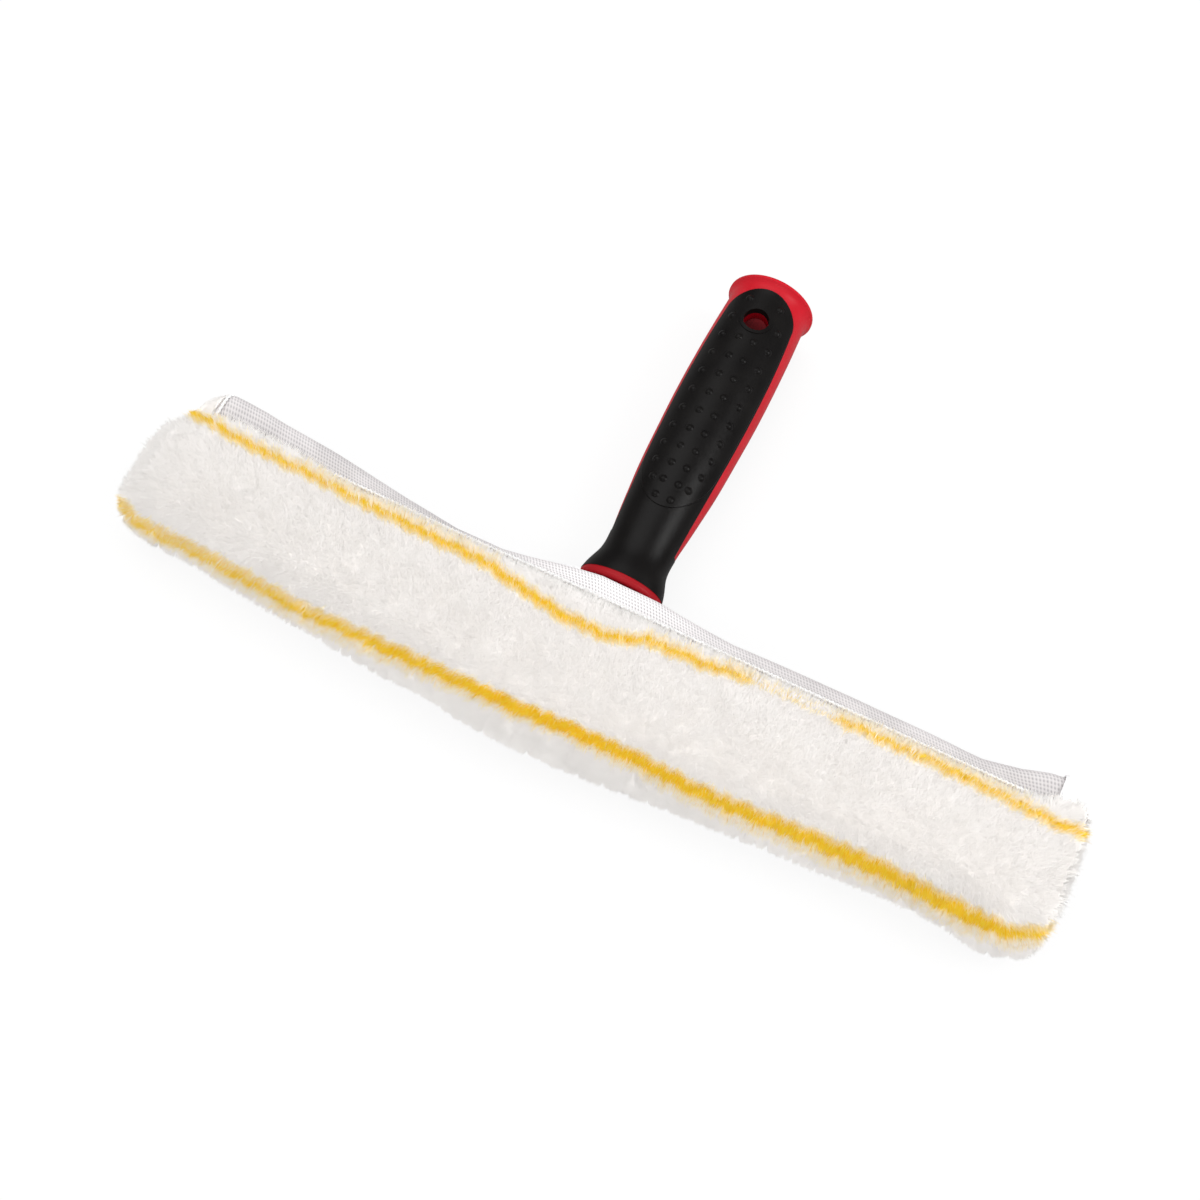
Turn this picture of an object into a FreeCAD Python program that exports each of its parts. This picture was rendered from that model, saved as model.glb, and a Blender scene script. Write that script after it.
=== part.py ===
"""Window strip washer: a T-bar with a two-component grip, and the plush sleeve that slides onto its bar."""
import FreeCAD
import Part
import math
import os

# Axes: +X runs along the sleeve to its open end, +Y from the sleeve to the end of the handle, +Z up.
# Lengths are in millimetres. The tool lies on its side, with the sleeve and the handle's rim on the floor.
# Everything is built about the sleeve's middle, and moved to the middle of the whole tool when it is saved.
overrun = 1.0
corner_share = 1.0 - math.sqrt(0.5)
parallel_share = 0.9
quarter_turn = 90
full_turn = 360

# Plush sleeve
sleeve_length = 350.0
sleeve_width = 60.0
sleeve_height = 40.0
closed_end_wall = 11.0
cap_length = 19.0
# One round of the plush, clockwise from the front of its foot, as shares of the section's width and height
foot_front_share = 0.22
foot_back_share = 0.92
back_low_share = 0.10
back_high_share = 0.78
crown_back_share = 0.84
crown_front_share = 0.30
crown_edge_share = 0.96
nose_share = 0.42
# Places along the half length, then the front and the height there, as shares of the width and the height
plush_shares = (
    (-0.955, 0.28, 0.88),
    (-0.885, 0.40, 0.97),
    (-0.63, 0.465, 0.99),
    (-0.34, 0.54, 1.0),
    (-0.03, 0.56, 0.99),
    (0.26, 0.53, 1.0),
    (0.51, 0.475, 0.985),
    (0.77, 0.43, 1.0),
    (0.92, 0.46, 0.98),
    (1.0, 0.37, 0.90),
)
# The same for the sewn cap at the closed end, with its back and its underside
cap_shares = (
    (-1.0, 0.23, 0.22, 0.22, 0.62),
    (-0.985, 0.33, 0.365, 0.10, 0.72),
    (-0.95, 0.39, 0.46, 0.03, 0.84),
)

# Knitted mesh along the back
mesh_thickness = 0.8
mesh_inset = 7.0
mesh_corner = 4.0
mesh_end_inset = 12.0
# Places along the half length, then the mesh's back there as shares of the sleeve's width
mesh_shares = (
    (-0.63, 0.517),
    (-0.34, 0.452),
    (-0.15, 0.468),
    (-0.03, 0.520),
    (0.10, 0.513),
    (0.26, 0.472),
    (0.51, 0.483),
    (0.77, 0.476),
)
mesh_left_share = 0.555
mesh_right_share = 0.517
neck_zone_share = 0.2

# Slit in the mesh, the tapes that close it and the sewing
slit_clearance = 0.4
hem_lap = 3.9
tape_thickness = 0.9
tape_room = 3.1
tape_inset = 5.0
hem_thickness = 0.7
hem_width = 5.0
thread_radius = 0.8
thread_gap = 0.1
end_thread_width = 1.4

# Hollow crossbar, and the room for it inside the sleeve
bar_room = 23.0
bar_height = 14.0
bar_wall = 2.0
bar_round = 4.0
bar_end_gap = 1.5
bar_recess = 8.5
hollow_front_gap = 2.5
hollow_back_gap = 2.0
seam_lap = 2.5

# Plugs in the bar's ends
plug_depth = 14.0
plug_cap = 2.5
plug_wall = 1.8
plug_gap = 0.1
plug_edge = 1.0

# Hook pads on the bar
pad_length = 40.0
pad_width = 22.0
pad_thickness = 1.0
pad_inset = 22.0
pad_round = 3.0
pad_gap = 0.5

# Foot of the handle core, in the bar
stem_width = 28.0
stem_height = 7.0
tenon_depth = 22.0
tenon_gap = 0.15
saddle_width = 36.0
saddle_height = 13.0
saddle_thickness = 1.6
saddle_round = 3.0
saddle_gap = 0.72

# Countersunk screws through the bar and the foot
screw_spacing = 16.0
screw_inset = 12.0
screw_radius = 1.75
screw_head_radius = 3.4
screw_gap = 0.1
screw_recess_radius = 0.9
screw_recess_depth = 1.1

# Handle: its outline as places along it from the flange, half widths, and the height's share of the width
rim_radius = 17.3
handle_length = 137.1
lip_length = 1.4
lip_round = 0.65
flange_clearance = 0.9
flange_height = 3.0
flange_round = 1.5
grip_half_width = 16.7
handle_shares = (
    (0.0, 1.02, 0.70),
    (0.021, 0.938, 0.70),
    (0.057, 0.864, 0.73),
    (0.088, 0.778, 0.76),
    (0.124, 0.746, 0.79),
    (0.161, 0.763, 0.81),
    (0.219, 0.814, 0.84),
    (0.286, 0.865, 0.87),
    (0.352, 0.913, 0.885),
    (0.485, 0.964, 0.90),
    (0.60, 0.995, 0.905),
    (0.70, 1.0, 0.912),
    (0.80, 0.987, 0.925),
    (0.885, 0.964, 0.945),
    (0.945, 0.941, 0.965),
    (0.969, 0.945, 0.98),
)
socket_radius = 10.0
socket_depth = 85.0
socket_lead = 0.8
hang_hole_radius = 4.8
hang_hole_inset = 19.7

# Rubber grip over the core
grip_thickness = 1.7
grip_proud = 0.2
tongue_end_inset = 4.8
tongue_end_length = 10.0
# Half widths of the tongue as shares of the grip's, at places along the handle
tongue_shares = (
    (0.15, 0.737),
    (0.25, 0.781),
    (0.40, 0.844),
    (0.58, 0.886),
    (0.74, 0.876),
)
tongue_shoulder_share = 0.80

# Raised details on the rubber
bump_radius = 1.5
bump_height = 0.7
bump_root = 0.5
bump_rows = 12
bump_crowding_share = 0.0009
bump_first_inset = 10.9
bump_last_inset = 3.4
bump_outer = 9.4
bump_inner = 3.0
bump_end = 6.3
bump_margin = 4.3
panel_height = 0.5
panel_inset = 0.35
panel_bottom_share = 0.236
panel_side_share = 0.405
panel_start_share = 0.846
collar_width = 1.3
collar_height = 0.35

# Places that the sizes above set
half_length = sleeve_length / 2
axis_height = rim_radius
seam_x = -half_length + cap_length
mesh_end_x = half_length - mesh_end_inset
mesh_half_height = sleeve_height / 2 - mesh_inset
neck_back = max(share for place, share in mesh_shares if abs(place) < neck_zone_share) * sleeve_width
mesh_nearest = min(share for place, share in mesh_shares) * sleeve_width - mesh_thickness
flange_y = neck_back + flange_clearance
lip_y = flange_y + handle_length - lip_length
handle_end = flange_y + handle_length
panel_bottom = flange_y + panel_bottom_share * handle_length
panel_side = flange_y + panel_side_share * handle_length
panel_half_width = panel_start_share * grip_half_width - panel_inset
shoulder_y = handle_end - tongue_end_inset - tongue_end_length
ring_y = flange_y + flange_height
bar_width = sleeve_width - bar_room
bar_back = mesh_nearest - saddle_gap - saddle_thickness
bar_front = bar_back - bar_width
bar_left = -half_length + closed_end_wall + bar_end_gap + plug_cap
bar_right = half_length - bar_recess - plug_cap
plush_back = bar_back - seam_lap
hollow_height = bar_height + 2 * (pad_thickness + pad_gap)
slit_half_height = stem_height / 2 + slit_clearance
slit_left = -stem_width / 2 - slit_half_height
tape_width = mesh_half_height - slit_half_height - tape_room
hole_y = handle_end - hang_hole_inset
front_most = -max(front for place, front, height in plush_shares) * sleeve_width
row_origin = FreeCAD.Vector(0, (front_most + handle_end) / 2, 0)


def point(x, y, z):
    return FreeCAD.Vector(x, y, z)


def box(low, high):
    size = high - low
    return Part.makeBox(size.x, size.y, size.z, low)


def line(start, end):
    return Part.LineSegment(start, end).toShape()


def rounded(start, corner, end):
    middle = corner + (start - corner + end - corner) * corner_share
    return Part.Arc(start, middle, end).toShape()


def moved(shape, x, y, z):
    copy = shape.copy()
    copy.translate(point(x, y, z))
    return copy


def save(node, shape):
    placed = shape.copy()
    placed.translate(row_origin * -1)
    placed.exportStep("parts/" + node + ".step")
    size = placed.BoundBox
    print(node, "solids", len(placed.Solids), "valid", placed.isValid(), "volume", round(placed.Volume),
          "x", round(size.XMin, 2), round(size.XMax, 2), "y", round(size.YMin, 2), round(size.YMax, 2),
          "z", round(size.ZMin, 2), round(size.ZMax, 2))


# Rounded plates and prisms
def prism(length, y_low, y_high, z_low, z_high, corner, x_low):
    """A bar along X with rounded long edges."""
    corners = ((y_low, z_low), (y_high, z_low), (y_high, z_high), (y_low, z_high))
    edges = []
    ends = []
    for index, (y, z) in enumerate(corners):
        before = corners[index - 1]
        after = corners[(index + 1) % len(corners)]
        here = point(x_low, y, z)
        start = here + (point(x_low, *before) - here).normalize() * corner
        end = here + (point(x_low, *after) - here).normalize() * corner
        edges.append(rounded(start, here, end))
        ends.append((start, end))
    for index in range(len(corners)):
        edges.append(line(ends[index - 1][1], ends[index][0]))
    wire = Part.Wire(Part.__sortEdges__(edges))
    return Part.Face(wire).extrude(point(length, 0, 0))


def plate(x_low, x_high, y_low, y_high, z_low, z_high, corner, thin_axis):
    """A thin box whose four short edges, along the thin axis, are rounded."""
    solid = box(point(x_low, y_low, z_low), point(x_high, y_high, z_high))
    edges = [edge for edge in solid.Edges if abs(edge.tangentAt(0).dot(thin_axis)) > parallel_share]
    return solid.makeFillet(corner, edges)


# Plush sleeve
def plush_wire(x, front, back, low, top):
    """One round of the pile, flat where it lies on the floor."""
    def place(across, up):
        return point(x, front + across * (back - front), low + up * (top - low))

    foot_front = place(foot_front_share, 0)
    foot_back = place(foot_back_share, 0)
    back_low = place(1, back_low_share)
    back_high = place(1, back_high_share)
    crown_back = place(crown_back_share, crown_edge_share)
    crown_middle = place((crown_back_share + crown_front_share) / 2, 1)
    crown_front = place(crown_front_share, crown_edge_share)
    nose = place(0, nose_share)
    return Part.Wire([
        line(foot_front, foot_back),
        rounded(foot_back, place(1, 0), back_low),
        line(back_low, back_high),
        rounded(back_high, place(1, crown_edge_share), crown_back),
        Part.Arc(crown_back, crown_middle, crown_front).toShape(),
        rounded(crown_front, place(0, crown_edge_share), nose),
        rounded(nose, place(0, 0), foot_front),
    ])


def sleeve_hollow():
    low = axis_height - hollow_height / 2
    left = -half_length + closed_end_wall
    return prism(sleeve_length, bar_front - hollow_front_gap, bar_back + hollow_back_gap, low,
                 low + hollow_height, bar_round, left)


def plush_wrap():
    """The pile fabric: a long wrap, open at the back, and the sewn cap that closes its left end."""
    wires = []
    for place, front, height in plush_shares:
        wires.append(plush_wire(place * half_length, -front * sleeve_width, plush_back, 0, height * sleeve_height))
    wrap = Part.makeLoft(wires, True, True)
    cap_wires = []
    for place, front, back, low, high in cap_shares:
        cap_wires.append(plush_wire(place * half_length, -front * sleeve_width, back * sleeve_width,
                                    low * sleeve_height, high * sleeve_height))
    seam_front = plush_shares[1][1] * sleeve_width
    seam_top = plush_shares[1][2] * sleeve_height
    cap_wires.append(plush_wire(seam_x, -seam_front, mesh_left_share * sleeve_width, 0, seam_top))
    cap = Part.makeLoft(cap_wires, True, True)
    return wrap.fuse(cap).cut(sleeve_hollow()).removeSplitter()


# Mesh back
def mesh_wire(x, back, grow):
    """The mesh's section: out from the pile, round the back and home again."""
    low = axis_height - mesh_half_height - grow
    high = axis_height + mesh_half_height + grow
    back = back + grow
    corner = mesh_corner + grow
    top_start = point(x, plush_back, high)
    top_end = point(x, back - corner, high)
    back_high = point(x, back, high - corner)
    back_low = point(x, back, low + corner)
    low_end = point(x, back - corner, low)
    low_start = point(x, plush_back, low)
    return Part.Wire([
        line(top_start, top_end),
        rounded(top_end, point(x, back, high), back_high),
        line(back_high, back_low),
        rounded(back_low, point(x, back, low), low_end),
        line(low_end, low_start),
        line(low_start, top_start),
    ])


def mesh_block(grow):
    """A solid as far out as the mesh's face, grown by a thickness."""
    wires = [mesh_wire(seam_x, mesh_left_share * sleeve_width, grow)]
    for place, back in mesh_shares:
        wires.append(mesh_wire(place * half_length, back * sleeve_width, grow))
    wires.append(mesh_wire(mesh_end_x, mesh_right_share * sleeve_width, grow))
    return Part.makeLoft(wires, True, True)


def back_band(x_low, x_high, z_low, z_high):
    """A region of the sleeve's back, between two places along it and two heights about the handle's axis."""
    return box(point(x_low, plush_back, axis_height + z_low),
               point(x_high, sleeve_width, axis_height + z_high))


def slit():
    """The slot from the neck to the open end, with a round end at the neck."""
    reach = sleeve_length
    slot = box(point(slit_left + slit_half_height, plush_back, axis_height - slit_half_height),
               point(slit_left + reach, sleeve_width, axis_height + slit_half_height))
    eye = Part.makeCylinder(slit_half_height, sleeve_width - plush_back,
                            point(slit_left + slit_half_height, plush_back, axis_height), point(0, 1, 0))
    return slot.fuse(eye)


def mesh_back(outer, inner):
    return outer.cut(inner).cut(slit())


def mesh_end_hem(outer):
    """The turned edge of the mesh at the open end, sewn down on the outside."""
    band = back_band(mesh_end_x - hem_width, mesh_end_x, -sleeve_height, sleeve_height)
    return mesh_block(hem_thickness).cut(outer).common(band).cut(slit())


def opening_hem(outer):
    """The turned edge round the closed end of the slit, at the neck."""
    band = back_band(slit_left - hem_width, slit_left + hem_lap,
                     -slit_half_height - hem_width, slit_half_height + hem_width)
    return mesh_block(hem_thickness).cut(outer).common(band).cut(slit())


def tape_span():
    start = stem_width / 2 + tape_inset
    end = mesh_end_x - hem_width - thread_gap
    return start, end


def slit_hook_tape(outer):
    """Hook tape on the outside of the lower flap."""
    start, end = tape_span()
    band = back_band(start, end, -slit_half_height - tape_width, -slit_half_height)
    return mesh_block(tape_thickness).cut(outer).common(band)


def slit_loop_tape(inner):
    """Loop tape on the inside of the upper flap."""
    start, end = tape_span()
    band = back_band(start, end, slit_half_height, slit_half_height + tape_width)
    core = mesh_block(-mesh_thickness - tape_thickness)
    return inner.cut(core).common(band)


def seam_thread(side):
    """A bead of overlock thread where the mesh meets the pile, above or below."""
    y = plush_back + thread_radius + thread_gap
    z = axis_height + side * (mesh_half_height + thread_radius + thread_gap)
    start = seam_x + end_thread_width + thread_gap
    end = mesh_end_x - hem_width - thread_gap
    return Part.makeCylinder(thread_radius, end - start, point(start, y, z), point(1, 0, 0))


def end_seam_thread(outer):
    """The thread down the mesh's left edge, where it meets the cap."""
    band = back_band(seam_x, seam_x + end_thread_width, -sleeve_height, sleeve_height)
    return mesh_block(thread_radius * 2).cut(outer).common(band)


# Crossbar and what is on it
def crossbar():
    """A hollow extrusion, with a window in its back wall for the foot of the handle."""
    low = axis_height - bar_height / 2
    high = axis_height + bar_height / 2
    bar_length = bar_right - bar_left
    outside = prism(bar_length, bar_front, bar_back, low, high, bar_round, bar_left)
    inside = prism(bar_length, bar_front + bar_wall, bar_back - bar_wall, low + bar_wall, high - bar_wall,
                   bar_round - bar_wall, bar_left)
    window = box(point(-stem_width / 2 - tenon_gap, bar_back - bar_round - overrun, low + bar_wall),
                 point(stem_width / 2 + tenon_gap, bar_back + overrun, high - bar_wall))
    bar = outside.cut(inside).cut(window)
    for x, y in screw_places():
        bar = bar.cut(screw(x, y, screw_gap))
    return bar


def end_plug(x, side):
    """A cap on the bar's end with a hollow spigot inside the bar."""
    low = axis_height - bar_height / 2
    high = axis_height + bar_height / 2
    cap_left = min(x, x + side * plug_cap)
    cap = prism(plug_cap, bar_front, bar_back, low, high, bar_round, cap_left)
    face_x = x + side * plug_cap
    rim = [edge for edge in cap.Edges
           if abs(edge.BoundBox.XMin - face_x) + abs(edge.BoundBox.XMax - face_x) < plug_gap]
    cap = cap.makeFillet(plug_edge, rim)
    inset = bar_wall + plug_gap
    spigot_left = min(x, x - side * plug_depth)
    spigot = prism(plug_depth, bar_front + inset, bar_back - inset, low + inset, high - inset,
                   bar_round - inset + plug_gap, spigot_left)
    inset = inset + plug_wall
    core_left = min(x, x - side * (plug_depth + overrun))
    core = prism(plug_depth + overrun, bar_front + inset, bar_back - inset, low + inset, high - inset,
                 plug_edge, core_left)
    return cap.fuse(spigot).cut(core)


def hook_pad(side):
    """A glued pad of hook tape on top of the bar, which grips the sleeve from inside."""
    if side < 0:
        left = bar_left + pad_inset
    else:
        left = bar_right - pad_inset - pad_length
    middle = (bar_front + bar_back) / 2
    low = axis_height + bar_height / 2
    return plate(left, left + pad_length, middle - pad_width / 2, middle + pad_width / 2, low,
                 low + pad_thickness, pad_round, point(0, 0, 1))


def screw_places():
    y = bar_back - screw_inset
    return [(-screw_spacing / 2, y), (screw_spacing / 2, y)]


def screw(x, y, gap):
    """A countersunk screw from the top of the bar to its bottom wall, or the hole for it."""
    top = axis_height + bar_height / 2
    head_height = screw_head_radius - screw_radius
    length = bar_height + gap
    shank = Part.makeCylinder(screw_radius + gap, length, point(x, y, top - length))
    head = Part.makeCone(screw_radius + gap, screw_head_radius + gap, head_height, point(x, y, top - head_height))
    solid = shank.fuse(head)
    if gap == 0:
        recess = Part.makeCylinder(screw_recess_radius, screw_recess_depth + overrun,
                                   point(x, y, top - screw_recess_depth))
        solid = solid.cut(recess)
    return solid


def crossbar_screws():
    return Part.makeCompound([screw(x, y, 0) for x, y in screw_places()])


# Handle
def handle_wires(grow):
    """Ovals along the grip and a circle at the rim, which all start at their right end."""
    wires = []
    for place, width, flatness in handle_shares:
        half_width = width * grip_half_width
        half_height = half_width * flatness
        middle = point(0, flange_y + place * handle_length, axis_height)
        oval = Part.Ellipse(middle + point(half_width + grow, 0, 0),
                            middle + point(0, 0, half_height + grow), middle)
        wires.append(Part.Wire([oval.toShape()]))
    middle = point(0, lip_y, axis_height)
    rim = Part.Circle(middle, point(0, -1, 0), rim_radius + grow).toShape()
    rim.rotate(middle, point(0, -1, 0), quarter_turn)
    wires.append(Part.Wire([rim]))
    return wires


def handle_body(grow):
    return Part.makeLoft(handle_wires(grow), True, False)


def round_end(half_width, y, reach):
    """Half an ellipse across the handle, which bulges along it by its reach, or back for a negative one."""
    middle = point(0, y, 0)
    far = point(0, y + reach, 0)
    wide = point(half_width, y, 0)
    if abs(reach) > half_width:
        return Part.ArcOfEllipse(Part.Ellipse(far, wide, middle), -math.pi / 2, math.pi / 2).toShape()
    return Part.ArcOfEllipse(Part.Ellipse(wide, far, middle), 0, math.pi).toShape()


def tongue_side(side, inset):
    """One long edge of the rubber as a curve from the neck to the shoulder, drawn in by an inset."""
    places = [(flange_y + place * handle_length, share) for place, share in tongue_shares]
    places.append((shoulder_y, tongue_shoulder_share))
    if inset:
        places = [(y, share) for y, share in places if y > panel_side]
        places.insert(0, (panel_side, panel_start_share))
    curve = Part.BSplineCurve()
    curve.interpolate([point(side * (share * grip_half_width - inset), y, 0) for y, share in places])
    return curve.toShape()


def tongue_outline():
    """The rubber seen from above: a full ring at the neck, then a tongue with a round end."""
    first_place, first_share = tongue_shares[0]
    first_y = flange_y + first_place * handle_length
    first_x = first_share * grip_half_width
    wide = grip_half_width + rim_radius
    return Part.Wire([
        line(point(-wide, ring_y, 0), point(wide, ring_y, 0)),
        line(point(wide, ring_y, 0), point(wide, first_y, 0)),
        line(point(wide, first_y, 0), point(first_x, first_y, 0)),
        tongue_side(1, 0),
        round_end(tongue_shoulder_share * grip_half_width, shoulder_y, tongue_end_length),
        tongue_side(-1, 0),
        line(point(-first_x, first_y, 0), point(-wide, first_y, 0)),
        line(point(-wide, first_y, 0), point(-wide, ring_y, 0)),
    ])


def column(wire):
    """A tall block under and over an outline that is drawn on the floor."""
    height = axis_height * 2 + overrun
    return moved(Part.Face(wire).extrude(point(0, 0, height)), 0, 0, -overrun / 2)


def hang_hole():
    height = axis_height * 2 + overrun
    return Part.makeCylinder(hang_hole_radius, height, point(0, hole_y, -overrun / 2))


def panel_outline():
    """The raised field of bumps seen from above, with a round end towards the neck."""
    return Part.Wire([
        round_end(panel_half_width, panel_side, panel_bottom - panel_side),
        tongue_side(1, panel_inset),
        round_end(tongue_shoulder_share * grip_half_width - panel_inset, shoulder_y, tongue_end_length - panel_inset),
        tongue_side(-1, panel_inset),
    ])


def half_sizes_at(y):
    """Half width and half height of the handle between its named places."""
    places = [(flange_y + place * handle_length, width * grip_half_width, flatness)
              for place, width, flatness in handle_shares]
    for (y_low, width_low, flat_low), (y_high, width_high, flat_high) in zip(places, places[1:]):
        if y_low <= y <= y_high:
            part = (y - y_low) / (y_high - y_low)
            width = width_low + part * (width_high - width_low)
            return width, width * (flat_low + part * (flat_high - flat_low))
    return rim_radius, rim_radius


def panel_half_at(y):
    """Half width of the field of bumps, which narrows like an ellipse towards the neck."""
    fall = max(0, panel_side - y) / (panel_side - panel_bottom)
    return panel_half_width * math.sqrt(1 - fall ** 2)


def bump_steps(row):
    """How many pitches a row of bumps is from the first one, as the rows crowd a little towards the neck."""
    return row - bump_crowding_share * row ** 3


def bump_places():
    """Rows of bumps from the rim to the neck, four wide but for the first two rows and the last."""
    places = []
    first_y = handle_end - bump_first_inset
    last_y = panel_bottom + bump_last_inset
    for row in range(bump_rows):
        y = first_y - (first_y - last_y) * bump_steps(row) / bump_steps(bump_rows - 1)
        if row == 0:
            offsets = [bump_end]
        elif row == 1:
            offsets = [bump_outer]
        elif row == bump_rows - 1:
            offsets = [bump_inner]
        else:
            offsets = [bump_inner, min(bump_outer, panel_half_at(y) - bump_margin)]
        for offset in offsets:
            places.append((-offset, y))
            places.append((offset, y))
    return places


def bumps():
    """Low domes that stand on the rubber's face, square to it, on both sides of the grip."""
    dome_radius = (bump_radius ** 2 + bump_height ** 2) / (2 * bump_height)
    root = dome_radius - bump_height - bump_root
    dome_base = math.degrees(math.asin(root / dome_radius))
    domes = []
    for x, y in bump_places():
        half_width, half_height = half_sizes_at(y)
        half_width = half_width + grip_proud + panel_height
        half_height = half_height + grip_proud + panel_height
        up = half_height * math.sqrt(1 - (x / half_width) ** 2)
        normal = point(x / half_width ** 2, 0, up / half_height ** 2).normalize()
        centre = point(x, y, up) + normal * (bump_height - dome_radius)
        for side in (-1, 1):
            out = point(normal.x, 0, side * normal.z)
            middle = point(centre.x, centre.y, axis_height + side * centre.z)
            domes.append(Part.makeSphere(dome_radius, middle, out, dome_base, quarter_turn, full_turn))
    return domes


def grip_overmould(core_side):
    """The rubber: a ring round the neck and two tongues, each with a raised field of bumps and a collar."""
    shell = handle_body(grip_proud).cut(core_side).common(column(tongue_outline()))
    raised = handle_body(grip_proud + panel_height).cut(core_side).common(column(panel_outline()))
    collar = Part.makeCylinder(hang_hole_radius + collar_width, axis_height * 2 + overrun,
                               point(0, hole_y, -overrun / 2))
    collar = handle_body(grip_proud + panel_height + collar_height).cut(core_side).common(collar)
    rubber = shell.fuse([raised, collar] + bumps())
    return rubber.cut(hang_hole())


def handle_core(core_side):
    """The hard core: pole socket, rim, side strips, flange, and the foot that goes into the bar."""
    outside = handle_body(0)
    flange_edges = [edge for edge in outside.Edges if edge.BoundBox.YMax < flange_y + flange_round]
    outside = outside.makeFillet(flange_round, flange_edges)
    strips = outside.cut(column(tongue_outline()))
    lip = Part.makeCylinder(rim_radius, lip_length, point(0, lip_y, axis_height), point(0, 1, 0))
    lip_edges = [edge for edge in lip.Edges if edge.BoundBox.YMin > lip_y + lip_round]
    lip = lip.makeFillet(lip_round, lip_edges)
    half_stem = stem_height / 2
    stem = box(point(-stem_width / 2, bar_back, axis_height - half_stem),
               point(stem_width / 2, flange_y + flange_height, axis_height + half_stem))
    saddle = plate(-saddle_width / 2, saddle_width / 2, bar_back, bar_back + saddle_thickness,
                   axis_height - saddle_height / 2, axis_height + saddle_height / 2, saddle_round,
                   point(0, 1, 0))
    tenon_height = bar_height - 2 * bar_wall - 2 * tenon_gap
    tenon = box(point(-stem_width / 2, bar_back - tenon_depth, axis_height - tenon_height / 2),
                point(stem_width / 2, bar_back, axis_height + tenon_height / 2))
    core = strips.fuse([core_side.common(outside), lip, stem, saddle, tenon])
    socket = Part.makeCylinder(socket_radius, socket_depth + overrun,
                               point(0, handle_end - socket_depth, axis_height), point(0, 1, 0))
    lead = Part.makeCone(socket_radius, socket_radius + socket_lead, socket_lead,
                         point(0, handle_end - socket_lead, axis_height), point(0, 1, 0))
    core = core.cut(socket).cut(lead).cut(hang_hole())
    for x, y in screw_places():
        core = core.cut(screw(x, y, screw_gap))
    return core


os.makedirs("parts", exist_ok=True)
core_side = handle_body(-grip_thickness)
mesh_outer = mesh_block(0)
mesh_inner = mesh_block(-mesh_thickness)

save("handle_core", handle_core(core_side))
save("grip_overmould", grip_overmould(core_side))
save("crossbar", crossbar())
save("end_plug_left", end_plug(bar_left, -1))
save("end_plug_right", end_plug(bar_right, 1))
save("crossbar_screws", crossbar_screws())
save("hook_pad_left", hook_pad(-1))
save("hook_pad_right", hook_pad(1))
save("plush_wrap", plush_wrap())
save("mesh_back", mesh_back(mesh_outer, mesh_inner))
save("mesh_end_hem", mesh_end_hem(mesh_outer))
save("opening_hem", opening_hem(mesh_outer))
save("slit_hook_tape", slit_hook_tape(mesh_outer))
save("slit_loop_tape", slit_loop_tape(mesh_inner))
save("upper_seam_thread", seam_thread(1))
save("lower_seam_thread", seam_thread(-1))
save("end_seam_thread", end_seam_thread(mesh_outer))
print("row origin is at y", round(row_origin.y, 3), "from the sleeve's middle; handle end", round(handle_end, 3))
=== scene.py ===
import math

import bpy
import numpy as np
from mathutils import Matrix, Vector, kdtree, noise


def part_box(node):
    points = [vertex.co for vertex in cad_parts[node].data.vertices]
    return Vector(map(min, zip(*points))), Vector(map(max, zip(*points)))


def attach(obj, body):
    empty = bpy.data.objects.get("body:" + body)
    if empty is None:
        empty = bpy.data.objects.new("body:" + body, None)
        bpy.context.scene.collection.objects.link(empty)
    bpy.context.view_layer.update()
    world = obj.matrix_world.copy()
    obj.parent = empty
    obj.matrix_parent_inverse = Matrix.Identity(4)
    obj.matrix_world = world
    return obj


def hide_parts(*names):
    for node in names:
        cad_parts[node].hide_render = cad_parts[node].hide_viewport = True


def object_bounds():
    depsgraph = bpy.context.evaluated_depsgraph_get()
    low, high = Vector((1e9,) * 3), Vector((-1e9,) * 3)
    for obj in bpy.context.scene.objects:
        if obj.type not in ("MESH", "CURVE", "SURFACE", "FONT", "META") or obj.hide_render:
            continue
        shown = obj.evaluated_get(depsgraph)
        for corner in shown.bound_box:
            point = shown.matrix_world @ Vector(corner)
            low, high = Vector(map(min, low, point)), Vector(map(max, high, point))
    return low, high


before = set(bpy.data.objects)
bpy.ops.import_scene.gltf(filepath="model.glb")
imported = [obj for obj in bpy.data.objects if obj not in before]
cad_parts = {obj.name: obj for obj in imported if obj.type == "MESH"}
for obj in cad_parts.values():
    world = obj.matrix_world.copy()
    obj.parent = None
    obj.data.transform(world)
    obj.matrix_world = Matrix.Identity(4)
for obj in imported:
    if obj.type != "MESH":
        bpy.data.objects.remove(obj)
cadLow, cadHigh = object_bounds()

mm = 0.001
axisHeight = 17.3  # of the handle and the bar over the floor, in millimetres
handleAxisHeight = axisHeight * mm
sleeveMiddleY = -67.8 * mm  # the sleeve's long middle line in the frame
dice = np.random.default_rng(41)
noise.seed_set(41)  # the vector noise would otherwise start from the clock


def srgb(red, green, blue):
    # a screen colour from 0 to 255 as the linear colour that shaders take
    def linear(level):
        level = level / 255
        return level / 12.92 if level <= 0.04045 else ((level + 0.055) / 1.055) ** 2.4
    return linear(red), linear(green), linear(blue), 1.0


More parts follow.
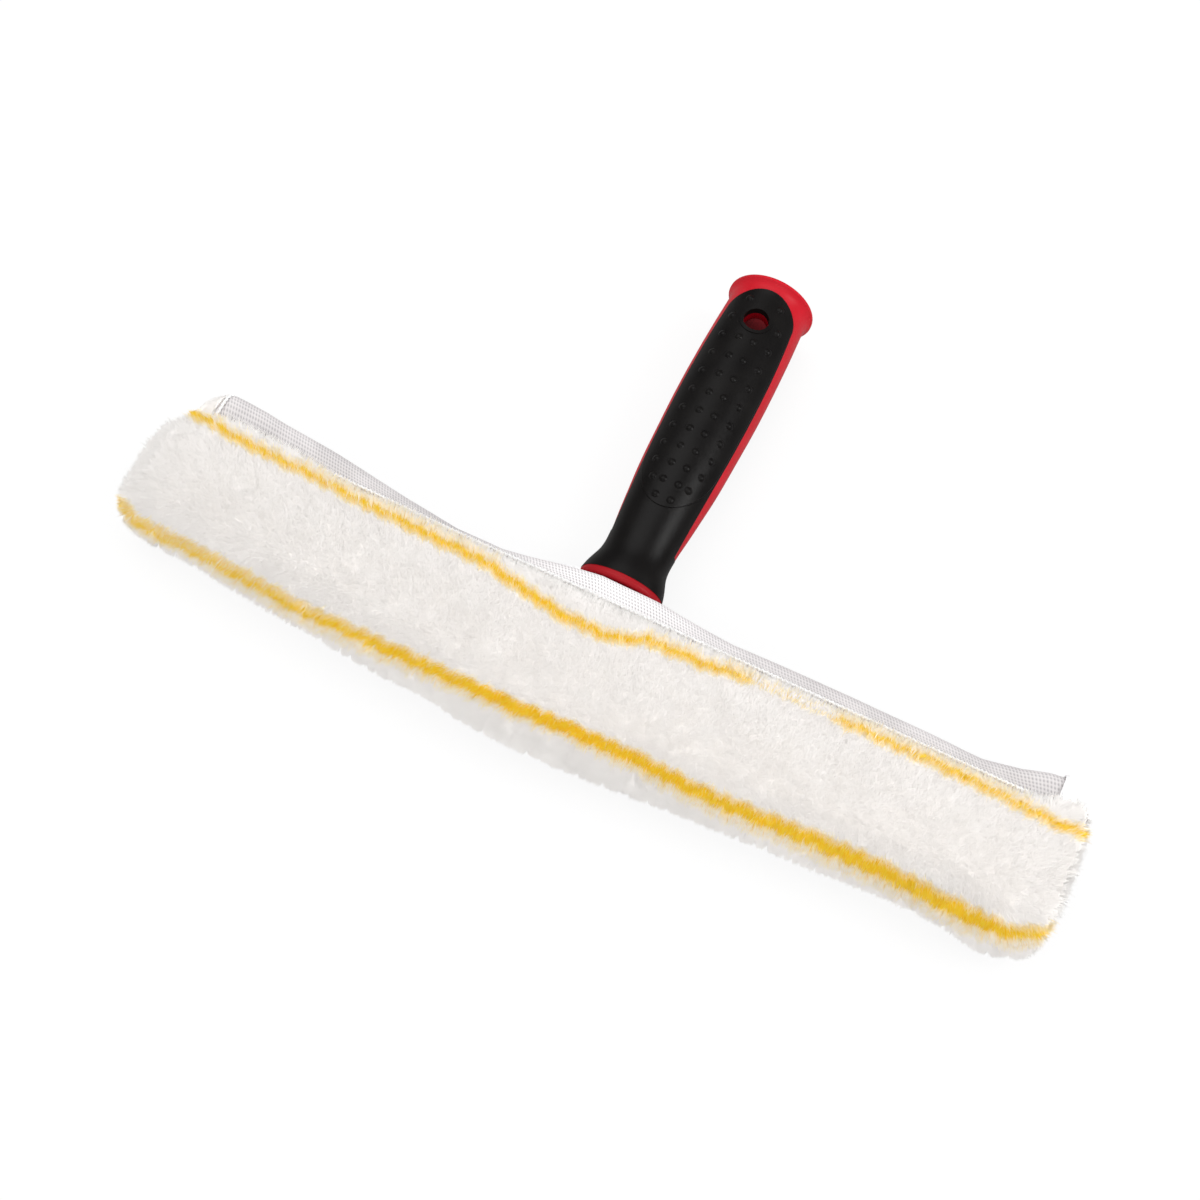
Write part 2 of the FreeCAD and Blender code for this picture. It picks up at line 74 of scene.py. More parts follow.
# Shader helpers
class Socket:
    # a node's output that grows Math nodes when it is used in sums
    def __init__(self, finish, output):
        self.finish = finish
        self.output = output

    def math(self, operation, first, second=0.0):
        node = self.finish.node("ShaderNodeMath", {"operation": operation}, {0: first, 1: second})
        return Socket(self.finish, node.outputs[0])

    def __add__(self, other):
        return self.math("ADD", self, other)

    def __radd__(self, other):
        return self.math("ADD", other, self)

    def __sub__(self, other):
        return self.math("SUBTRACT", self, other)

    def __rsub__(self, other):
        return self.math("SUBTRACT", other, self)

    def __mul__(self, other):
        return self.math("MULTIPLY", self, other)

    def __rmul__(self, other):
        return self.math("MULTIPLY", other, self)

    def __truediv__(self, other):
        return self.math("DIVIDE", self, other)

    def __pow__(self, other):
        return self.math("POWER", self, other)

    def absolute(self):
        return self.math("ABSOLUTE", self)

    def clamped(self):
        return self.math("MINIMUM", self.math("MAXIMUM", self, 0.0), 1.0)


class Finish:
    # a material or a world, and the nodes that are added to it
    def __init__(self, name, kind=bpy.data.materials, shader="Principled BSDF"):
        self.holder = kind.new(name)
        self.holder.use_nodes = True
        self.tree = self.holder.node_tree
        self.shader = self.tree.nodes[shader]

    def node(self, kind, settings, sockets):
        made = self.tree.nodes.new(kind)
        for key, value in settings.items():
            if key == "stops":
                ramp = made.color_ramp
                for index, (place, colour) in enumerate(value):
                    stop = ramp.elements[index] if index < 2 else ramp.elements.new(place)
                    stop.position = place
                    stop.color = colour
            else:
                setattr(made, key, value)
        for key, value in sockets.items():
            self.join(made.inputs[key], value)
        return made

    def join(self, target, value):
        if isinstance(value, Socket):
            self.tree.links.new(value.output, target)
        else:
            target.default_value = value

    def out(self, kind, settings, sockets, output=0):
        return Socket(self, self.node(kind, settings, sockets).outputs[output])

    def place(self):
        return self.out("ShaderNodeTexCoord", {}, {}, "Object")

    def split(self, vector):
        parts = self.node("ShaderNodeSeparateXYZ", {}, {"Vector": vector})
        return [Socket(self, parts.outputs[index]) for index in range(3)]

    def noise(self, scale, detail=3.0, vector=None):
        sockets = {"Vector": vector or self.place(), "Scale": scale, "Detail": detail}
        return self.out("ShaderNodeTexNoise", {}, sockets, "Fac")

    def ramp(self, factor, *stops):
        return self.out("ShaderNodeValToRGB", {"stops": stops}, {"Fac": factor}, "Color")

    def mix(self, factor, first, second):
        made = self.node("ShaderNodeMix", {"data_type": "RGBA"}, {})
        for index, value in ((0, factor), (6, first), (7, second)):
            self.join(made.inputs[index], value)
        return Socket(self, made.outputs[2])

    def bump(self, height, distance, strength):
        sockets = {"Height": height, "Distance": distance, "Strength": strength}
        return self.out("ShaderNodeBump", {}, sockets, "Normal")

    def set(self, **values):
        for key, value in values.items():
            self.join(self.shader.inputs[key.replace("_", " ")], value)
        return self.holder


# Finishes; the handle's core has painted shade in its bores and on its flange, whose places are in millimetres
core = {
    "socketRadius": 10.3,
    "socketFade": 0.4,
    "holeBack": 81.7,
    "holeRadius": 5.3,
    "holeFade": 0.3,
    "holeShare": 0.5,  # how much of the pole socket's painted shade the hang hole gets
    "flangeBack": -30.2,
    "flangeFade": 0.8,
}


def redPlasticFinish():
    finish = Finish("red_plastic")
    cloud = finish.noise(60.0)
    grain = finish.noise(2600.0, 2.0)
    lit = finish.ramp(cloud, (0.3, srgb(176, 5, 24)), (0.7, srgb(190, 11, 32)))
    across, back, up = finish.split(finish.place())
    up = up - handleAxisHeight
    fromAxis = (across * across + up * up) ** 0.5
    inSocket = ((core["socketRadius"] * mm - fromAxis) / (core["socketFade"] * mm)).clamped()
    fromHole = (across * across + (back - core["holeBack"] * mm) ** 2) ** 0.5
    hangHoleShade = ((core["holeRadius"] * mm - fromHole) / (core["holeFade"] * mm)).clamped()
    flangeShade = ((core["flangeBack"] * mm - back) / (core["flangeFade"] * mm)).clamped()
    # painted shade: the pole socket and the hang hole are coloured dark red where little light gets in
    colour = finish.mix((inSocket + hangHoleShade * core["holeShare"]).clamped(), lit, srgb(66, 0, 9))
    colour = finish.mix(flangeShade, colour, srgb(148, 4, 18))  # the flange stays in the cloth's shade
    return finish.set(Base_Color=colour, Roughness=0.34 + cloud * 0.1 + inSocket * 0.5,
                      Specular_IOR_Level=0.22, Normal=finish.bump(grain, 0.03 * mm, 0.5))


def gripRubberFinish():
    finish = Finish("grip_rubber")
    cloud = finish.noise(90.0)
    grain = finish.noise(3200.0)
    colour = finish.ramp(cloud, (0.3, srgb(10, 8, 8)), (0.75, srgb(18, 16, 15)))
    return finish.set(Base_Color=colour, Roughness=0.3 + cloud * 0.12, Specular_IOR_Level=0.24,
                      Normal=finish.bump(grain, 0.05 * mm, 0.7))


def aluminiumFinish():
    finish = Finish("bar_metal")
    stretched = finish.out("ShaderNodeMapping", {}, {"Vector": finish.place(), "Scale": (6.0, 900.0, 900.0)})
    lines = finish.noise(3.0, 4.0, stretched)
    cloud = finish.noise(40.0)
    colour = finish.ramp(lines, (0.25, srgb(176, 178, 180)), (0.75, srgb(206, 208, 210)))
    return finish.set(Base_Color=colour, Metallic=1.0, Roughness=0.28 + cloud * 0.16,
                      Normal=finish.bump(lines, 0.02 * mm, 0.5))


def plainPlasticFinish(name, dark, light, roughness):
    finish = Finish(name)
    cloud = finish.noise(120.0)
    grain = finish.noise(2400.0, 2.0)
    colour = finish.ramp(cloud, (0.3, dark), (0.7, light))
    return finish.set(Base_Color=colour, Roughness=roughness + cloud * 0.1,
                      Normal=finish.bump(grain, 0.04 * mm, 0.6))


def steelFinish():
    finish = Finish("screw_steel")
    cloud = finish.noise(700.0)
    colour = finish.ramp(cloud, (0.3, srgb(150, 150, 152)), (0.7, srgb(190, 190, 192)))
    return finish.set(Base_Color=colour, Metallic=1.0, Roughness=0.25 + cloud * 0.15)


def pileFinish():
    # of the attribute, red is the stripe, green a tuft's own tone, blue the way from its root to its tip,
    # and alpha is 0 on the knitted backing and lower on tufts where painted shade lies in a crease
    finish = Finish("plush")
    told = finish.node("ShaderNodeAttribute", {"attribute_name": "pile"}, {})
    backed = Socket(finish, told.outputs["Alpha"])
    parts = finish.node("ShaderNodeSeparateColor", {}, {"Color": Socket(finish, told.outputs["Color"])})
    stripe, fleck, along = (Socket(finish, parts.outputs[index]) for index in range(3))
    cloud = finish.noise(120.0)
    # the tone varies at random, and painted shade makes the roots a little darker than the tips
    toneAndRootShade = cloud * 0.6 + fleck * 0.25 + along * 0.15
    white = finish.ramp(toneAndRootShade, (0.25, srgb(247, 243, 239)), (0.75, srgb(255, 252, 249)))
    yellow = finish.ramp(fleck, (0.0, srgb(253, 198, 24)), (1.0, srgb(255, 222, 62)))
    knit = finish.ramp(finish.noise(900.0, 2.0), (0.35, srgb(222, 220, 217)), (0.65, srgb(243, 241, 238)))
    colour = finish.mix(backed, knit, finish.mix(stripe, white, yellow))
    # the light that white fibres pass on to each other is given back as a faint glow
    return finish.set(Base_Color=colour, Roughness=0.9, Sheen_Weight=0.1, Sheen_Roughness=0.5,
                      Emission_Color=colour, Emission_Strength=0.13)


def knitFinish():
    # the attribute is 1 on the yarn and 0 in the holes, which are painted grey for the shade seen through them
    finish = Finish("mesh")
    told = finish.out("ShaderNodeAttribute", {"attribute_name": "stitch"}, {}, "Fac")
    cloud = finish.noise(80.0)
    raised = finish.ramp(cloud, (0.3, srgb(199, 195, 195)), (0.7, srgb(212, 208, 208)))
    shadeInHoles = finish.ramp(cloud, (0.3, srgb(143, 139, 141)), (0.7, srgb(163, 159, 161)))
    highlightReach = 55 * mm  # painted highlight: the cloth is paler towards the neck, up to here
    near = (1.0 - finish.split(finish.place())[0].absolute() / highlightReach).clamped()
    raised = finish.mix(near, raised, srgb(238, 235, 236))
    return finish.set(Base_Color=finish.mix(told, shadeInHoles, raised), Roughness=0.62 + cloud * 0.1)


def threadFinish(name, dark, light):
    finish = Finish(name)
    strands = finish.noise(1500.0, 2.0)
    colour = finish.ramp(strands, (0.35, dark), (0.65, light))
    return finish.set(Base_Color=colour, Roughness=0.6, Normal=finish.bump(strands, 0.05 * mm, 0.6))


redPlastic = redPlasticFinish()
gripRubber = gripRubberFinish()
aluminium = aluminiumFinish()
blackPlastic = plainPlasticFinish("plug_plastic", srgb(24, 24, 25), srgb(36, 36, 37), 0.42)
hookPlastic = plainPlasticFinish("hook_tape", srgb(222, 222, 222), srgb(240, 240, 240), 0.45)
steel = steelFinish()
pileFibre = pileFinish()
knitted = knitFinish()
hemCloth = threadFinish("hem_tape", srgb(222, 222, 223), srgb(246, 246, 247))
loopCloth = threadFinish("loop_tape", srgb(222, 222, 222), srgb(244, 244, 243))
whiteThread = threadFinish("thread", srgb(228, 228, 228), srgb(250, 250, 250))
print("finishes made")


def dress(node, material):
    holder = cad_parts[node]
    if not holder.material_slots:
        holder.data.materials.append(material)
    for slot in holder.material_slots:
        slot.material = material


dressing = {
    "handle_core": redPlastic,
    "grip_overmould": gripRubber,
    "crossbar": aluminium,
    "end_plug_left": blackPlastic,
    "end_plug_right": blackPlastic,
    "crossbar_screws": steel,
    "hook_pad_left": hookPlastic,
    "hook_pad_right": hookPlastic,
}
for node, material in dressing.items():
    dress(node, material)


def deselect():
    if bpy.context.mode != "OBJECT":
        bpy.ops.object.mode_set(mode="OBJECT")
    bpy.ops.object.select_all(action="DESELECT")


def activate(piece):
    deselect()
    piece.select_set(True)
    bpy.context.view_layer.objects.active = piece


def applyModifier(piece, name, kind, **settings):
    activate(piece)
    modifier = piece.modifiers.new(name, kind)
    for key, value in settings.items():
        setattr(modifier, key, value)
    bpy.ops.object.modifier_apply(modifier=modifier.name)


def coordinates(mesh):
    places = np.zeros(len(mesh.vertices) * 3)
    mesh.vertices.foreach_get("co", places)
    return places.reshape(-1, 3)


def normalsOf(mesh):
    ways = np.zeros(len(mesh.vertices) * 3)
    mesh.vertex_normals.foreach_get("vector", ways)
    return ways.reshape(-1, 3)


def putCoordinates(mesh, places):
    mesh.vertices.foreach_set("co", places.astype(np.float32).ravel())
    mesh.update()


def newPiece(name, mesh, material, body):
    piece = bpy.data.objects.new(name, mesh)
    bpy.context.scene.collection.objects.link(piece)
    mesh.materials.clear()
    mesh.materials.append(material)
    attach(piece, body)
    return piece


# Camera, where the photograph was taken from: millimetres, degrees and pixels
cameraView = {
    "target": (-4.36, -40.69, 17.3),
    "azimuth": 21.17,
    "elevation": 65.35,
    "roll": 5.26,
    "distance": 534.64,
    "focalPixels": 1528.0,
    "imageWidth": 1200.0,
}


# Plush pile, all lengths in millimetres: the felt, which the tufts stand on
pile = {
    "drawIn": 3.0,  # how far the felt lies under the tips
    "frontDraw": 1.0,  # what the front is drawn in more, but for its ends
    "frontSwell": 1.8,  # what its middle comes out by
    "swellMiddle": -8.0,
    "swellReach": 28.0,
    "capDraw": 0.8,  # what the cap is drawn in more, behind and on top
    "capThinShare": 0.7,  # what the pile is thinner by on the cap's back wall
    "cornerDraw": (0.0, -2.4, -3.2),  # how far the cap's upper back corner goes to the front and down
    "lap": 0.8,  # how far the pile's upper back edge comes over the mesh
    "lapRight": 4.0,  # and at the ends by this beyond it
    "lapLeft": 5.0,
    "lapCorner": 4.4,  # and its corner at the open end by this beyond that
    "voxel": 1.8,
    "weld": 0.01,
    "wavePitch": 16.0,
    "waveHeight": 1.6,
    "flatSize": (350.0, 138.0),  # the blank of pile fabric before it is wrapped and sewn
}

# Where a change of the pile's shape begins, and the length over which it comes in
fades = {
    "frontEnds": (145.0, 12.0),  # along the sleeve, both ways from its middle
    "cap": (150.0, 8.0),  # to the left
    "cornerInner": (151.0, 6.0),  # to the left
    "cornerOuter": (-172.0, 7.0),  # to the right
    "cornerBack": (10.0, 12.0),  # back from the sleeve's middle line
    "cornerUp": (18.0, 8.0),  # up from the floor
    "thinInner": (152.0, 3.0),  # to the left
    "thinOuter": (-170.0, 4.0),  # to the right
    "thinBack": (22.5, 3.0),  # back from the sleeve's middle line
    "lapBack": (-9.0, 7.0),  # back from the mesh's front edge
    "lapUp": (10.0, 4.0),  # up from the handle's axis
    "lapRight": (145.0, 22.0),  # to the right
    "lapLeft": (90.0, 45.0),  # to the left
    "lapCorner": (158.0, 8.0),  # to the right
}

tuft = {
    "count": 345000,
    "pieces": 7,
    "length": 2.7,
    "frontLength": 0.6,  # what the tufts of the front are longer by
    "spread": 0.4,
    "spreadLimits": (-1.2, 0.9),
    "radius": 0.25,
    "radiusShares": (0.75, 1.25),
    "rootDepth": 0.35,
    "floorGap": 0.25,
    "ownShare": 0.7,  # how much a tuft goes straight out, with its clump and anyhow
    "clumpShare": 0.35,
    "strayShare": 0.2,
    "stripeFuzz": 0.35,
    "softShare": 0.2,  # how much of a tuft's own shading shows, beside the felt's
}

# How the tufts stand together in clumps, whose tips lean aside
clump = {
    "pitch": 2.8,
    "driftPitch": 26.0,
    "driftLean": 0.3,
    "ripplePitch": 7.0,
    "rippleLean": 0.2,
    "topLean": 0.4,
    "frontLean": 1.6,
    "frontDrop": 0.75,
    "topPull": 0.04,  # how much a tuft's tip goes to its clump's
    "frontPull": 0.5,
}

# The hollow of the sleeve, where no tufts grow
hollow = {
    "left": 11.0,  # from the cap's end
    "front": 2.5,  # from the bar
    "back": 2.0,
    "half": 8.5,  # of its height
    "slack": 1.3,
    "capGap": 0.2,
    "backGap": 0.7,
    "lipFront": 3.0,
    "endShare": 0.4,  # how much the felt looks to the right, where it is the open end
    "lipShare": 0.1,  # how much it looks back on the cap and on the lip
    "backShare": 0.6,  # how much it looks back under the mesh
}

# Painted shade in the creases at the ends of a clump of pile by the mesh
creaseShade = {
    "places": ((58.5, 20.5), (85.5, 20.5)),  # along the sleeve and back from its middle line
    "reach": (1.4, 2.6),
    "share": 0.8,
}

# How the stripes run a little crooked, and how wide their edges fade
wobble = {
    "swing": 0.45,
    "turn": 0.8,
    "drift": 1.5,
    "driftTurn": 0.29,
    "edge": 1.3,
}

# Where the stripes run: places along the sleeve, then how far behind its middle line, and the stripe's width;
# heights count from the handle's axis, and the first two are as the camera sees them at their height
stripes = {
    "upper": {
        "height": 21.0,
        "lowest": 4.0,
        "line": ((-174, 12), (-168, 17.5), (-160, 18.4), (-150, 17.9), (-140, 16.4), (-110, 15.8),
                 (-90, 14.7), (-60, 13.7), (-40, 13.2), (-30, 10.9), (-11, 7.6), (8, 7.3), (20, 12.4),
                 (42, 12.9), (50, 14.6), (60, 14.8), (84, 15.3), (90, 15.2), (121, 15.5), (140, 15.2),
                 (155, 14.0), (172, 14.4)),
        "width": ((-175, 3.2), (-120, 3.4), (-60, 4.0), (-10, 4.0), (30, 3.8), (54, 3.2), (58, 0.6), (84, 0.6),
                  (88, 3.4), (130, 3.8), (175, 3.2)),
    },
    "lower": {
        "height": 14.0,
        "lowest": -3.0,
        "line": ((-175, -17), (-170, -20), (-160, -24.4), (-150, -25.6), (-130, -25.7), (-110, -26.8),
                 (-90, -28), (-60, -27.4), (-11, -26.3), (10, -25.4), (30, -24.9), (60, -26), (90, -24.4),
                 (115, -23.4), (145, -24.5), (160, -24.4), (170, -20.6), (176, -16)),
        "width": ((-175, 4.0), (-140, 4.6), (-60, 5.4), (20, 5.4), (60, 5.8), (100, 6.8), (150, 6.6),
                  (175, 4.5)),
    },
    "underside": {
        "highest": -10.0,
        "line": ((-175, -14), (175, -14)),
        "width": ((-175, 3.5), (175, 3.5)),
    },
}


def cameraPlace():
    # where the photograph was taken from, in millimetres
    turn, rise = (math.radians(cameraView[name]) for name in ("azimuth", "elevation"))
    outward = Vector((math.sin(turn) * math.cos(rise), -math.cos(turn) * math.cos(rise), math.sin(rise)))
    return Vector(cameraView["target"]) + outward * cameraView["distance"]


def hollowBox():
    barLow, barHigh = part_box("crossbar")
    half = hollow["half"] * mm
    return (cadLow.x + hollow["left"] * mm, barLow.y - hollow["front"] * mm, barHigh.y + hollow["back"] * mm,
            handleAxisHeight - half, handleAxisHeight + half)


def onHollow(places, ways):
    # true where the felt lies in the sleeve or under the mesh
    left, front, back, low, high = hollowBox()
    meshLow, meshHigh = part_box("mesh_back")
    slack = hollow["slack"] * mm
    x, y, z = places.T
    inside = (x > left - slack) & (y > front - slack) & (z > low - slack) & (z < high + slack)
    openEnd = (ways[:, 0] > hollow["endShare"]) & (x > cadHigh.x - 2 * slack)
    looksBack = ways[:, 1] > hollow["lipShare"]
    capBack = (x < meshLow.x - hollow["capGap"] * mm) & (y > back + hollow["backGap"] * mm) & looksBack
    lip = (x > meshHigh.x) & (y > meshLow.y - hollow["lipFront"] * mm) & looksBack
    backed = ((x > meshLow.x - slack) & (y > meshLow.y - slack) & (ways[:, 1] > hollow["backShare"])
              & (z > meshLow.z + slack) & (z < meshHigh.z - slack))
    return (inside & ~openEnd & ~capBack & ~lip) | backed


def creaseShadeShare(places):
    # painted shade: how much the tufts in a crease are coloured toward the backing's grey, only above the
    # handle's axis
    share = np.zeros(len(places))
    for along, back in creaseShade["places"]:
        away = np.hypot((places[:, 0] / mm - along) / creaseShade["reach"][0],
                        ((places[:, 1] - sleeveMiddleY) / mm - back) / creaseShade["reach"][1])
        share = np.maximum(share, creaseShade["share"] * np.exp(-away ** 2) * (places[:, 2] > handleAxisHeight))
    return share


def stripeShare(places, fuzz=0.0):
    # 1 in the middle of a stripe, 0 outside
    eye = np.array(cameraPlace())
    own = places / mm
    share = np.zeros(len(places))
    for stripe in stripes.values():
        if "height" in stripe:
            level = axisHeight + stripe["height"]
            seen = own + (eye - own) * ((level - own[:, 2]) / (eye[2] - own[:, 2]))[:, None]
            there = own[:, 2] > axisHeight + stripe["lowest"]
        else:
            seen = own
            there = own[:, 2] < axisHeight + stripe["highest"]
        along = seen[:, 0]
        crooked = np.sin(along * wobble["turn"] + wobble["drift"] * np.sin(along * wobble["driftTurn"]))
        middle = np.interp(along, *np.array(stripe["line"], float).T) + wobble["swing"] * crooked
        half = np.interp(along, *np.array(stripe["width"], float).T) / 2
        distance = np.abs(seen[:, 1] - sleeveMiddleY / mm - middle) + fuzz
        share = np.maximum(share, np.clip((half - distance) / wobble["edge"] + 0.5, 0, 1) * there)
    return share


def writePile(mesh, *shares):
    # the stripe, a tuft's own tone, the way from its root to its tip, and 0 on the backing, lower where
    # painted shade lies in a crease
    mark = mesh.attributes.new("pile", "FLOAT_COLOR", "POINT")
    colours = np.zeros((len(mesh.vertices), 4), np.float32)
    for channel, share in enumerate(shares):
        colours[:, channel] = share
    mark.data.foreach_set("color", colours.ravel())


def smoothStep(value):
    value = np.clip(value, 0, 1)
    return value * value * (3 - 2 * value)


def fade(value, name, unit=1.0):
    # 0 before that change begins, 1 once it is full
    start, length = fades[name]
    return smoothStep((value - start * unit) / (length * unit))


def unitWays(ways):
    return ways / np.linalg.norm(ways, axis=1)[:, None]


def lapShift(places):
    # how far the upper back edge of the pile goes back over the mesh
    x = places[:, 0] / mm
    up = (places[:, 2] - handleAxisHeight) / mm
    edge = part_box("mesh_back")[0].y
    near = fade(places[:, 1] - edge, "lapBack", mm) * fade(up, "lapUp")
    ends = pile["lapRight"] * fade(x, "lapRight") + pile["lapLeft"] * fade(-x, "lapLeft")
    return near * (pile["lap"] + ends + pile["lapCorner"] * fade(x, "lapCorner"))


def drawIn(places, ways):
    # how far the felt lies inside the solid: more on the front near the ends, and on the cap
    x = places[:, 0] / mm
    front = smoothStep(-ways[:, 1] * 1.6 - 0.1)
    middle = 1 - fade(np.abs(x), "frontEnds")
    swell = smoothStep(1.4 - np.abs(x - pile["swellMiddle"]) / pile["swellReach"])
    cap = fade(-x, "cap") * smoothStep(ways[:, 1] + ways[:, 2])
    onFront = (pile["frontDraw"] * middle - pile["frontSwell"] * swell) * front
    return (pile["drawIn"] + onFront + pile["capDraw"] * cap) * thinness(places)


def cornerShift(places):
    # the way that the cap's upper back corner goes, so that it slopes down from the mesh
    x = places[:, 0] / mm
    back = (places[:, 1] - sleeveMiddleY) / mm
    share = fade(-x, "cornerInner") * fade(x, "cornerOuter")
    share *= fade(back, "cornerBack") * fade(places[:, 2] / mm, "cornerUp")
    return share[:, None] * np.array(pile["cornerDraw"])


def thinness(places):
    # 1 where the pile is thick, less on the cap's thin back wall
    x = places[:, 0] / mm
    back = (places[:, 1] - sleeveMiddleY) / mm
    return 1 - pile["capThinShare"] * fade(back, "thinBack") * fade(-x, "thinInner") * fade(x, "thinOuter")


def makeFelt():
    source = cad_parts["plush_wrap"]
    felt = newPiece("pile_fabric", source.data.copy(), pileFibre, "sleeve")
    activate(felt)
    bpy.ops.object.mode_set(mode="EDIT")
    bpy.ops.mesh.select_all(action="SELECT")
    bpy.ops.mesh.remove_doubles(threshold=pile["weld"] * mm)
    bpy.ops.object.mode_set(mode="OBJECT")
    applyModifier(felt, "evenFaces", "REMESH", mode="VOXEL", voxel_size=pile["voxel"] * mm)
    places = coordinates(felt.data)
    ways = normalsOf(felt.data)
    outer = ~onHollow(places, ways)
    group = felt.vertex_groups.new(name="outer")
    group.add([int(index) for index in np.nonzero(outer)[0]], 1.0, "REPLACE")
    applyModifier(felt, "blend", "SMOOTH", factor=0.5, iterations=6, vertex_group="outer")
    places = coordinates(felt.data)
    ways = normalsOf(felt.data)
    places[outer] -= ways[outer] * drawIn(places[outer], ways[outer])[:, None] * mm
    putCoordinates(felt.data, places)
    applyModifier(felt, "soften", "SMOOTH", factor=0.5, iterations=5)
    places = coordinates(felt.data)
    places[outer, 1] += lapShift(places[outer]) * mm
    places[outer] += cornerShift(places[outer]) * mm
    putCoordinates(felt.data, places)
    waves = bpy.data.textures.new("pileWaves", "CLOUDS")
    waves.noise_scale = pile["wavePitch"] * mm
    applyModifier(felt, "waves", "DISPLACE", texture=waves, strength=pile["waveHeight"] * mm, mid_level=0.5,
                  texture_coords="LOCAL", vertex_group="outer")
    places = coordinates(felt.data)
    writePile(felt.data, stripeShare(places) * outer, 0.5, 0.0, outer)
    for face in felt.data.polygons:
        face.use_smooth = True
    return felt, outer


def sampleRoots(felt, outer):
    # even random places on the felt's outside, with their ways out, and its area
    mesh = felt.data
    mesh.calc_loop_triangles()
    corners = np.zeros(len(mesh.loop_triangles) * 3, np.int64)
    mesh.loop_triangles.foreach_get("vertices", corners)
    corners = corners.reshape(-1, 3)
    corners = corners[outer[corners].all(axis=1)]
    places = coordinates(mesh)
    ways = normalsOf(mesh)
    a, b, c = (places[corners[:, index]] for index in range(3))
    area = np.linalg.norm(np.cross(b - a, c - a), axis=1) / 2
    count = tuft["count"]
    chosen = dice.choice(len(corners), count, p=area / area.sum())
    first, second = dice.random((2, count))
    over = first + second > 1
    first[over] = 1 - first[over]
    second[over] = 1 - second[over]
    shares = np.stack([1 - first - second, first, second], axis=1)
    roots = (places[corners[chosen]] * shares[:, :, None]).sum(axis=1)
    normals = (ways[corners[chosen]] * shares[:, :, None]).sum(axis=1)
    return roots, unitWays(normals), area.sum()


def swirl(places, size):
    # a slow random field, one vector for each place
    return np.array([noise.noise_vector(Vector(place) / (size * mm)) for place in places])


def gatherClumps(roots, normals, area):
    # each root's clump and how low on the front it is, and each clump's way and tip
    count = int(area / (clump["pitch"] * mm) ** 2)
    centres = roots[:count]
    outward = normals[:count]
    tree = kdtree.KDTree(count)
    for index, centre in enumerate(centres):
        tree.insert(centre, index)
    tree.balance()
    nearest = np.array([tree.find(root)[1] for root in roots])
    front = np.clip(-outward[:, 1] * 1.3 + 0.1, 0, 1)
    side = np.clip(0.85 - outward[:, 2], 0, 1) * front  # 0 on top and behind, 1 low on the front
    drift = swirl(centres, clump["driftPitch"]) * clump["driftLean"]
    ripple = swirl(centres, clump["ripplePitch"]) * clump["rippleLean"]
    lean = (drift + ripple) * (clump["topLean"] + clump["frontLean"] * side[:, None])
    lean[:, 2] -= side * clump["frontDrop"]
    ways = unitWays(outward + lean)
    length = (tuft["length"] + tuft["frontLength"] * side) * thinness(centres)
    return nearest, side[nearest], ways, centres + ways * length[:, None] * mm


def growTufts(felt, outer):
    roots, normals, area = sampleRoots(felt, outer)
    count = len(roots)
    nearest, side, clumpWays, clumpTips = gatherClumps(roots, normals, area)
    uneven = dice.normal(0, tuft["spread"], count).clip(*tuft["spreadLimits"])
    length = (tuft["length"] + tuft["frontLength"] * side + uneven) * thinness(roots) * mm
    ways = normals * tuft["ownShare"] + clumpWays[nearest] * tuft["clumpShare"]
    tips = roots + length[:, None] * (ways + dice.normal(0, tuft["strayShare"], (count, 3)))
    tips += (clumpTips[nearest] - tips) * (clump["topPull"] + clump["frontPull"] * side)[:, None]
    tips[:, 2] = np.maximum(tips[:, 2], tuft["floorGap"] * mm)
    ways = unitWays(tips - roots)
    across = unitWays(np.cross(ways, dice.normal(0, 1, (count, 3))))
    third = np.cross(ways, across)
    radius = tuft["radius"] * mm * dice.uniform(*tuft["radiusShares"], count)[:, None]
    foot = roots - normals * tuft["rootDepth"] * mm
    ring = [foot + radius * (across * math.cos(turn) + third * math.sin(turn))
            for turn in (0.0, math.tau / 3, 2 * math.tau / 3)]
    places = np.stack(ring + [tips], axis=1)
    fuzz = dice.normal(0, tuft["stripeFuzz"], count)
    stripe = stripeShare(places.reshape(-1, 3), np.repeat(fuzz, 4)).reshape(count, 4)
    fleck = dice.random(count)
    # painted shade: tufts in a crease are coloured toward the backing's grey
    outside = 1 - creaseShadeShare(roots)
    order = np.argsort(roots[:, 0], kind="stable")
    return [tuftPiece(number, places[part], normals[part], stripe[part], fleck[part], outside[part])
            for number, part in enumerate(np.array_split(order, tuft["pieces"]))]


def arrayMesh(name, places, unitFaces, count):
    # a mesh of many equal small shapes, with places in metres and the faces of one of them
    size = len(places) // count
    corners = (np.arange(count)[:, None, None] * size + np.array(unitFaces)[None]).reshape(-1, 3)
    mesh = bpy.data.meshes.new(name)
    mesh.vertices.add(len(places))
    mesh.vertices.foreach_set("co", places.astype(np.float32).ravel())
    mesh.loops.add(corners.size)
    mesh.loops.foreach_set("vertex_index", corners.astype(np.int32).ravel())
    mesh.polygons.add(len(corners))
    mesh.polygons.foreach_set("loop_start", np.arange(0, corners.size, 3, dtype=np.int32))
    mesh.update(calc_edges=True)
    mesh.validate()
    mesh.polygons.foreach_set("use_smooth", np.ones(len(mesh.polygons), bool))
    return mesh


